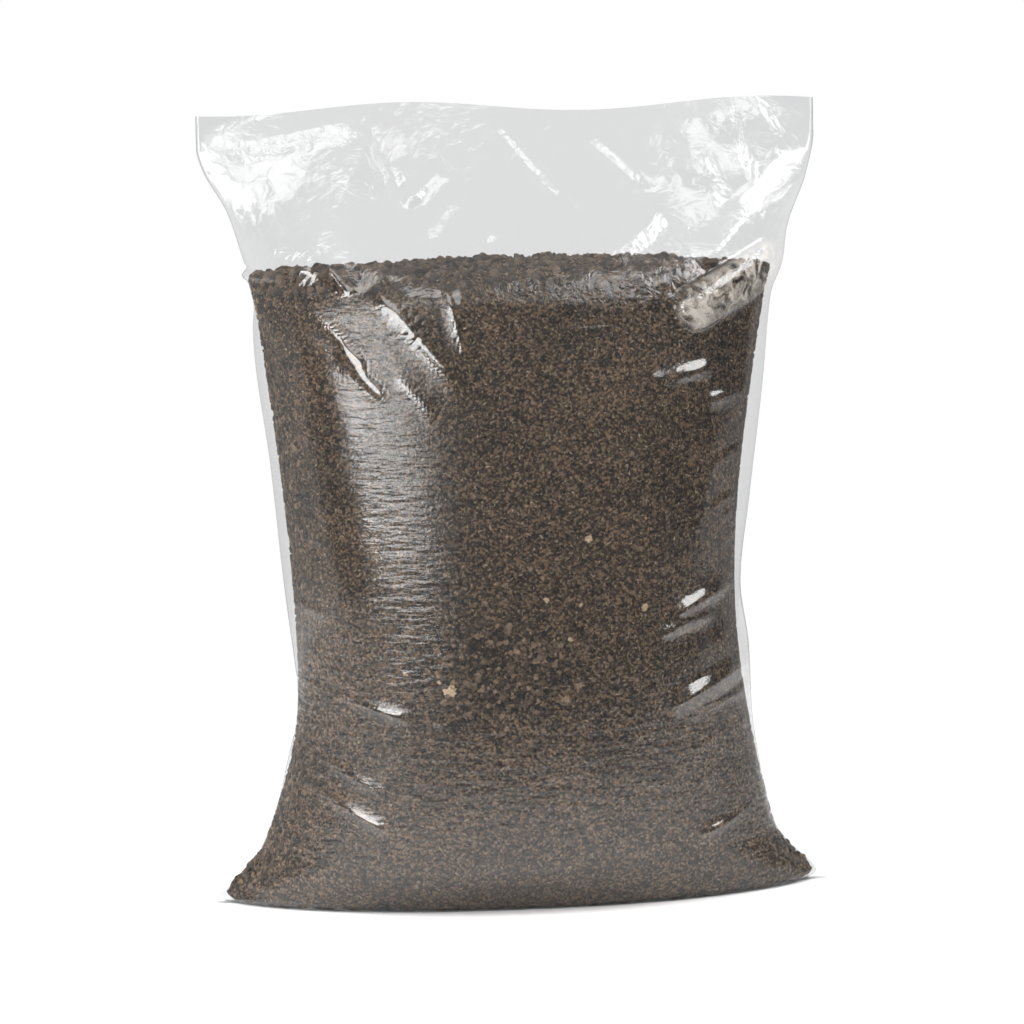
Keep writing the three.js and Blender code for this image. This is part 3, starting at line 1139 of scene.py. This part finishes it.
    def settle(self, collider: SoilCollider) -> Array:
        """Settles the film over the soil, first on a coarse net and then on ever finer ones.

        Args:
            collider: The soil that the film lies on.

        Returns:
            The settled places by column around the tube and by row.
        """
        finest = 2 ** (len(self.steps) - 1)
        columns, rows = self.columns // finest, self.rows // finest
        target = self.lay_out(columns, rows)
        laid = np.array([self.path_length(column) for column in target])
        across = self.flat_width / columns
        up = ((laid + self.slack * (laid.max() - laid)) / rows).astype(np.float32)
        rng = np.random.default_rng(self.seed)
        places = target + rng.normal(0, self.start_noise, target.shape).astype(np.float32)
        for level, steps in enumerate(self.steps):
            if level > 0:
                columns, rows, across = 2 * columns, 2 * rows, across / 2
                places = self.twice_as_fine(places)
                target = self.lay_out(columns, rows)
                up = np.stack((up, (up + np.roll(up, -1)) / 2), axis=1).reshape(-1) / 2
            solver = FilmSolver(places, target, (across, up), collider, self.form)
            places = solver.relax(steps, self.rounds)
        return places

    def build(self, collider: SoilCollider) -> Piece:
        """Builds the settled film and dresses it.

        Args:
            collider: The soil that the film lies on.

        Returns:
            The film's object.
        """
        places = self.settle(collider)
        around, up = places.shape[:2]
        number = np.arange(around * up).reshape(around, up)
        half = around // 2
        number[half + 1:, 0] = number[1:half, 0][::-1]
        a, b = number, np.roll(number, -1, axis=0)
        faces = np.stack((a[:, :-1], b[:, :-1], b[:, 1:], a[:, 1:]), axis=-1).reshape(-1, 4)
        used = np.unique(faces)
        renumber = np.zeros(around * up, int)
        renumber[used] = np.arange(len(used))
        places = places.reshape(-1, 3)[used]
        film = new_mesh_object("film", places, renumber[faces])
        distance, _ = collider.sample(places)
        rolled = np.where(places[:, 1] < 0, self.roll.lift(places[:, 0], places[:, 2]), 0) / self.roll.rise
        low, high = (self.form.soil_rim + edge for edge in self.crinkle_band)
        crinkled = np.maximum(smooth_step(places[:, 2], low, high), rolled)
        over_edge = self.rim_crinkling * self.rim_crinkles.share(places)
        add_attribute(film, "rolled", rolled)
        add_attribute(film, "crinkled", np.maximum(crinkled, over_edge))
        add_attribute(film, "pressed", 1 - smooth_step(distance, *self.pressed_gaps))
        film.data.materials.append(self.finish.material())
        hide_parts("film_bag")
        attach(film, BODY)
        return film


@dataclass(frozen=True)
class SideBand:
    """The soil along the bag's side creases, where it runs out thin."""

    form: BagForm
    inner: float = 0.88
    outer: float = 0.96

    def share(self, places: Array) -> Array:
        """How far inside the band each place lies, from 0 to 1."""
        across = places[..., 0] / self.form.reach(places[..., 0], places[..., 2])
        return smooth_step(np.abs(across), self.inner, self.outer)


@dataclass
class SoilFill:
    """The soil: a crumbly mass with loose bits in its face and on its top."""

    node: Piece
    form: BagForm
    collider: SoilCollider
    voxel: float = 0.0023
    top_band: float = 0.012
    side_foot: float = 0.015
    finish: SoilFinish = SoilFinish()
    loose_spot: FrontSpot = FrontSpot((-0.026, 0.157), (0.062, 0.044))
    loose_depth: float = 0.0026
    relief_level: float = 0.6
    reliefs: tuple[tuple[str, float, float], ...] = (
        ("CLOUDS", 0.020, 0.0020),
        ("VORONOI", 0.0075, 0.0024),
        ("VORONOI", 0.0038, 0.0016),
    )
    pale_lumps: tuple[Triple, ...] = (
        (-0.052, 0.147, 0.0085), (-0.059, 0.153, 0.0045), (-0.080, 0.158, 0.0045), (0.036, 0.242, 0.0060),
        (0.072, 0.196, 0.0050), (0.008, 0.204, 0.0040), (0.023, 0.179, 0.0040), (0.030, 0.200, 0.0035),
    )

    def pale_spots(self, mass: Piece) -> tuple[Array, Array, Array]:
        """Finds where the pale lumps lie in the front of the soil.

        Args:
            mass: The soil's mass.

        Returns:
            Their places, the way out of the soil at each, and their sizes.
        """
        tree = BVHTree.FromObject(mass, bpy.context.evaluated_depsgraph_get())
        hits = [tree.ray_cast(Vector((x, -1, z)), Vector((0, 1, 0))) for x, z, _ in self.pale_lumps]
        places = np.array([tuple(hit[0]) for hit in hits])
        sizes = np.array([size for _, _, size in self.pale_lumps])
        return places, np.tile((0.0, -1.0, 0.0), (len(places), 1)), sizes

    def build_bits(self, mass: Piece) -> list[Piece]:
        """Builds the loose bits: crumbs in the face and along the sides, clods, fibres and pale lumps.

        Args:
            mass: The soil's mass.

        Returns:
            One piece for each kind of bits.
        """
        black = (0.012, 0.009, 0.007)
        crumb = LooseBitFinish("soil_crumbs", black, (0.19, 0.140, 0.100))
        coarse = LooseBitFinish("coarse_crumbs", black, (0.22, 0.155, 0.105))
        clod = LooseBitFinish("soil_clods", (0.014, 0.011, 0.009), (0.13, 0.098, 0.072))
        fibre = LooseBitFinish("soil_fibres", (0.06, 0.044, 0.032), (0.60, 0.48, 0.34))
        side = LooseBitFinish("side_crumbs", black, (0.19, 0.138, 0.094))
        pale = LooseBitFinish("pale_lumps", (0.38, 0.28, 0.18), (0.56, 0.44, 0.31))
        top = self.form.soil_rim - self.top_band
        beds = (
            LooseBits(Grain.CRUMB, crumb, 8500, (0.0016, 0.0042), tone_skew=1.5),
            LooseBits(
                Grain.CRUMB, coarse, 620, (0.002, 0.0052), roundness=2, tone_skew=2.2, spot=self.loose_spot,
                seed=17,
            ),
            LooseBits(Grain.CRUMB, clod, 1700, (0.003, 0.009), lowest=top, roundness=2, seed=5),
            LooseBits(Grain.FIBRE, fibre, 24000, (0.0010, 0.0032), tone_skew=1.3, seed=9),
        )
        built = [bed.build(self.collider, *bed.scatter(mass)) for bed in beds]
        edges = LooseBits(
            Grain.CRUMB, side, 4200, (0.0022, 0.0052), lowest=self.side_foot, highest=top, tone_skew=1.5,
            spot=SideBand(self.form), seed=23,
        )
        built.append(edges.build(self.collider, *edges.scatter(self.node)))
        lumps = LooseBits(Grain.PALE_LUMP, pale, len(self.pale_lumps), (0, 0), roundness=3, sunk=0.5)
        return built + [lumps.build(self.collider, *self.pale_spots(mass))]

    def build_mass(self) -> Piece:
        """Builds the soil's mass, with its relief cut inwards from the pressed face.

        Returns:
            The soil's object.
        """
        mass = bpy.data.objects.new("soil", self.node.data.copy())
        bpy.context.scene.collection.objects.link(mass)
        remesh = mass.modifiers.new("even_mesh", "REMESH")
        remesh.mode = "VOXEL"
        remesh.voxel_size = self.voxel
        for kind, pitch, depth in self.reliefs:
            texture = bpy.data.textures.new(f"{kind.lower()}_{pitch}", kind)
            texture.noise_scale = pitch
            relief = mass.modifiers.new(texture.name, "DISPLACE")
            relief.texture = texture
            relief.texture_coords = "LOCAL"
            relief.mid_level = self.relief_level
            relief.strength = depth
        bake_modifiers(mass)
        places = self.collider.press(mesh_places(mass))
        _, way = self.collider.sample(places)
        places = places - way * (self.loose_spot.share(places) * self.loose_depth)[:, None]
        mass.data.vertices.foreach_set("co", places.ravel())
        mass.data.update()
        mass.data.materials.clear()
        mass.data.materials.append(self.finish.material())
        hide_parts("soil_fill")
        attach(mass, BODY)
        return mass


@dataclass(frozen=True)
class ShredForm:
    """The form of thin shreds: their width and lift in metres, the rest as shares of length or width."""

    width: float = 0.00042
    widths: Pair = (0.5, 1.2)
    end_width: float = 0.35
    bow: float = 0.22
    rises: Pair = (0.0, 0.12)
    lift: float = 0.0001
    lie: float = 0.8
    tilt: float = 0.6


@dataclass
class LooseBits:
    """Loose bits of one kind, strewn over the soil's face as one mesh."""

    grain: Grain
    finish: LooseBitFinish
    count: int
    sizes: Pair
    lowest: float = 0.004
    highest: float = 1.0
    roundness: int = 1
    sunk: float = 0.3
    stretch: Pair = (0.65, 1.2)
    knobs: Pair = (0.70, 1.20)
    shred: ShredForm = ShredForm()
    tone_skew: float = 1.0
    spot: FrontSpot | SideBand | None = None
    seed: int = 3

    def scatter(self, mass: Piece) -> tuple[Array, Array, Array]:
        """Picks places evenly over the soil's face, between the lowest and the highest or in a spot.

        Args:
            mass: The soil's mass.

        Returns:
            The places, the way out of the soil at each, and the size of the bit there.
        """
        rng = np.random.default_rng(self.seed)
        mesh = mass.data
        mesh.calc_loop_triangles()
        corners = np.zeros(len(mesh.loop_triangles) * 3, np.int32)
        mesh.loop_triangles.foreach_get("vertices", corners)
        triangles = mesh_places(mass)[corners.reshape(-1, 3)]
        middle = triangles[:, :, 2].mean(1)
        triangles = triangles[(middle > self.lowest) & (middle < self.highest)]
        cross = np.cross(triangles[:, 1] - triangles[:, 0], triangles[:, 2] - triangles[:, 0])
        area = np.linalg.norm(cross, axis=1)
        weight = area * self.spot.share(triangles.mean(1)) if self.spot else area
        chosen = rng.choice(len(triangles), self.count, p=weight / weight.sum())
        parts = rng.dirichlet((1, 1, 1), self.count)
        places = np.einsum("nc,nci->ni", parts, triangles[chosen])
        return places, cross[chosen] / area[chosen, None], rng.uniform(*sorted(self.sizes), self.count)

    def lumps(self, places: Array, ways: Array, sizes: Array) -> tuple[Array, Array]:
        """Rough little lumps, each turned its own way.

        Args:
            places: Where they lie.
            ways: The way out of the soil at each.
            sizes: How big each is across.

        Returns:
            The vertex places, by lump, and the faces of one lump.
        """
        ball = bmesh.new()
        bmesh.ops.create_icosphere(ball, subdivisions=self.roundness, radius=1.0)
        base = np.array([v.co for v in ball.verts])
        faces = np.array([[v.index for v in f.verts] for f in ball.faces])
        ball.free()
        rng = np.random.default_rng(self.seed + 1)
        count = len(places)
        radius = sizes / 2
        stretch = rng.uniform(*self.stretch, (count, 1, 3))
        knobs = rng.uniform(*self.knobs, (count, len(base), 1))
        turns, _ = np.linalg.qr(rng.normal(size=(count, 3, 3)))
        shapes = np.einsum("nij,nvj->nvi", turns, base * stretch * knobs) * radius[:, None, None]
        inside_out = np.linalg.det(turns) < 0
        shapes[inside_out] *= -1
        centres = places - ways * (radius * self.sunk)[:, None]
        return shapes + centres[:, None], faces

    def shreds(self, places: Array, ways: Array, sizes: Array) -> tuple[Array, Array]:
        """Thin bent shreds that lie on the soil.

        Args:
            places: Where they lie.
            ways: The way out of the soil at each.
            sizes: How long each is.

        Returns:
            The vertex places, by shred, and the faces of one shred.
        """
        form = self.shred
        rng = np.random.default_rng(self.seed + 1)
        count = len(places)
        along = np.cross(ways, rng.normal(size=(count, 3)))
        along /= np.linalg.norm(along, axis=1, keepdims=True)
        beside = np.cross(ways, along)
        length = sizes[:, None]
        width = form.width * rng.uniform(*form.widths, (count, 1))
        bow = rng.normal(0, form.bow, (count, 1)) * length
        rise = rng.uniform(*form.rises, (count, 1)) * length + form.lift
        rows = []
        for step, thin in ((-0.5, form.end_width), (0.0, 1.0), (0.5, form.end_width)):
            spine = places + along * length * step + ways * rise
            spine = spine + beside * bow * (1 - 4 * step * step)
            tilt = beside * form.lie + ways * rng.uniform(-form.tilt, form.tilt, (count, 1))
            rows += [spine - tilt * width * thin / 2, spine + tilt * width * thin / 2]
        return np.stack(rows, axis=1), np.array(((0, 1, 3, 2), (2, 3, 5, 4)))

    def build(
        self, collider: SoilCollider, places: Array, ways: Array, sizes: Array
    ) -> Piece:
        """Builds the bits and dresses them.

        Args:
            collider: The soil, which they are pressed into by the film.
            places: Where they lie.
            ways: The way out of the soil at each.
            sizes: How big each is.

        Returns:
            The bits as one object.
        """
        make = self.shreds if self.grain is Grain.FIBRE else self.lumps
        shapes, one = make(places, ways, sizes)
        count, size = shapes.shape[:2]
        faces = (one[None] + size * np.arange(count)[:, None, None]).reshape(-1, one.shape[1])
        bits = new_mesh_object(self.finish.name, collider.press(shapes.reshape(-1, 3)), faces)
        tones = np.random.default_rng(self.seed + 2).uniform(0, 1, count) ** self.tone_skew
        add_attribute(bits, "tone", np.repeat(tones, size))
        bits.data.materials.append(self.finish.material())
        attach(bits, BODY)
        return bits


@dataclass(frozen=True)
class Softbox:
    """A soft lamp that faces the bag, as bright beside white as its radiance says."""

    name: str
    place: Triple
    size: Pair
    radiance: float
    mirrored: bool = True
    aim: Triple = (0.0, 0.0, 0.25)

    def hang(self) -> None:
        """Hangs the lamp."""
        lamp = bpy.data.lights.new(self.name, "AREA")
        lamp.shape = "RECTANGLE"
        lamp.size, lamp.size_y = self.size
        lamp.energy = self.radiance * self.size[0] * self.size[1] * math.pi
        holder = bpy.data.objects.new(self.name, lamp)
        holder.location = self.place
        way = Vector(self.aim) - Vector(self.place)
        holder.rotation_euler = way.to_track_quat("-Z", "Y").to_euler()
        holder.visible_glossy = self.mirrored
        bpy.context.scene.collection.objects.link(holder)


@dataclass
class Studio:
    """A white floor, a white surround, a dark room behind the camera, and soft lamps."""

    floor_reach: float = 1.3
    floor_fade: float = 0.5
    floor_colour: Triple = (0.92, 0.92, 0.92)
    floor_sides: int = 96
    table_front: float = -0.30
    surround: float = 0.55
    mirrored_surround: float = 0.45
    wall_reach: float = 3.4
    wall_height: float = 4.5
    wall_fade: float = 0.9
    wall_colour: Triple = (0.03, 0.03, 0.03)
    wall_angles: Pair = (-78.0, 105.0)
    wall_panels: int = 30
    wall_lift: float = 0.001
    softboxes: tuple[Softbox, ...] = (
        Softbox("left_softbox", (-1.37, -1.46, 0.53), (1.15, 0.68), 8.5),
        Softbox("right_softbox", (1.75, -0.50, 1.45), (1.0, 0.9), 7.0),
        Softbox("high_left_softbox", (-0.97, -1.68, 1.48), (0.9, 0.8), 3.2),
        Softbox("high_right_softbox", (0.90, -1.54, 1.84), (1.0, 0.9), 2.5),
        Softbox("side_softbox", (-1.6, 0.2, 0.7), (0.8, 0.8), 10.0, mirrored=False),
        Softbox("overhead", (-0.2, -0.5, 1.95), (1.6, 1.4), 4.0, mirrored=False),
    )

    def build_floor(self) -> None:
        """Builds the floor that the bag stands on, which fades out into the white surround."""
        turn = np.linspace(0, 2 * math.pi, self.floor_sides, endpoint=False)
        rim = self.floor_reach * np.stack((np.cos(turn), np.sin(turn), 0 * turn), axis=-1)
        floor = new_mesh_object("floor", rim, [tuple(range(len(turn)))])
        material, nodes = Nodes.for_material("floor_white")
        away = nodes.add("ShaderNodeVectorMath", {"operation": "LENGTH"}, Vector=nodes.place())
        fade = nodes.smooth_fade(away.outputs["Value"], self.floor_fade, self.floor_reach)
        nodes.show(nodes.mix_shaders(fade, nodes.matt(self.floor_colour), nodes.clear()))
        floor.data.materials.append(material)

    def build_dark_room(self) -> None:
        """Builds the dark wall that only the film's gloss shows, which fades upwards."""
        turn = np.radians(np.linspace(*self.wall_angles, self.wall_panels + 1))
        foot = self.wall_reach * np.stack((np.sin(turn), -np.cos(turn), 0 * turn), axis=-1)
        foot[:, 2] = self.wall_lift
        top = foot + np.array((0, 0, self.wall_height))
        edge = foot.copy()
        edge[:, 1] = np.maximum(self.table_front, foot[:, 1])
        first = np.arange(self.wall_panels)
        ring = self.wall_panels + 1
        strip = np.stack((first, first + 1, first + ring + 1, first + ring), axis=-1)
        places = np.concatenate((edge, foot, top))
        wall = new_mesh_object("dark_room", places, np.concatenate((strip, strip + ring)))
        material, nodes = Nodes.for_material("dark_wall")
        level = nodes.add("ShaderNodeSeparateXYZ", Vector=nodes.place()).outputs["Z"]
        fade = nodes.smooth_fade(level, self.wall_fade, self.wall_height)
        nodes.show(nodes.mix_shaders(fade, nodes.matt(self.wall_colour), nodes.clear()))
        wall.data.materials.append(material)
        wall.visible_camera = False
        wall.visible_diffuse = False
        wall.visible_transmission = False
        wall.visible_shadow = False

    def light_surround(self) -> None:
        """Makes the surround white to look at, and an even soft light to the rest."""
        world = bpy.data.worlds.new("white_surround")
        bpy.context.scene.world = world
        world.use_nodes = True
        tree = world.node_tree
        tree.nodes.clear()
        nodes = Nodes(tree)
        path = nodes.add("ShaderNodeLightPath")
        seen = nodes.maths("MAXIMUM", path.outputs["Is Camera Ray"], path.outputs["Is Transmission Ray"])
        mirrored = nodes.times(path.outputs["Is Glossy Ray"], self.mirrored_surround - self.surround)
        strength = nodes.plus(nodes.slide(seen, self.surround, 1.0), mirrored)
        light = nodes.add("ShaderNodeBackground", Color=(1, 1, 1, 1), Strength=strength)
        nodes.add("ShaderNodeOutputWorld", Surface=light.outputs["Background"])

    def build(self) -> None:
        """Sets up the floor, the surround, the dark room and the lamps."""
        self.build_floor()
        self.build_dark_room()
        self.light_surround()
        for softbox in self.softboxes:
            softbox.hang()


@dataclass
class PhotoCamera:
    """The camera, placed by the angles that it looks from."""

    azimuth: float = -6.0
    elevation: float = 6.0
    roll: float = 1.1
    distance: float = 2.4
    target: Triple = (-0.002, 0.0, 0.250)
    frame_width: float = 0.6656
    sensor: float = 36.0

    def build(self) -> None:
        """Makes the scene's camera."""
        camera = bpy.data.cameras.new("camera")
        camera.sensor_width = self.sensor
        camera.lens = self.sensor * self.distance / self.frame_width
        holder = bpy.data.objects.new("camera", camera)
        turn, lift = math.radians(self.azimuth), math.radians(self.elevation)
        away = Vector((math.sin(turn) * math.cos(lift), -math.cos(turn) * math.cos(lift), math.sin(lift)))
        holder.location = Vector(self.target) + self.distance * away
        facing = (-away).to_track_quat("-Z", "Y")
        holder.rotation_euler = (facing @ Euler((0, 0, math.radians(-self.roll))).to_quaternion()).to_euler()
        bpy.context.scene.collection.objects.link(holder)
        bpy.context.scene.camera = holder


def main() -> None:
    """Builds the pieces in order and reports each."""
    logging.basicConfig(level=logging.INFO, format="%(name)s: %(message)s")
    bpy.context.scene.view_settings.view_transform = "Standard"
    PhotoCamera().build()
    Studio().build()
    form = BagForm()
    soil_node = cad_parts["soil_fill"]
    collider = SoilCollider(soil_node, form.soil_rim)
    LOG.info("soil collider: %d places", len(collider.table))
    soil = SoilFill(soil_node, form, collider)
    mass = soil.build_mass()
    LOG.info("soil mass: %d faces", len(mass.data.polygons))
    for bits in soil.build_bits(mass):
        LOG.info("%s: %d faces", bits.name, len(bits.data.polygons))
    film = FilmBag(form).build(collider)
    LOG.info("film: %d faces", len(film.data.polygons))


if __name__ == "__main__":
    main()
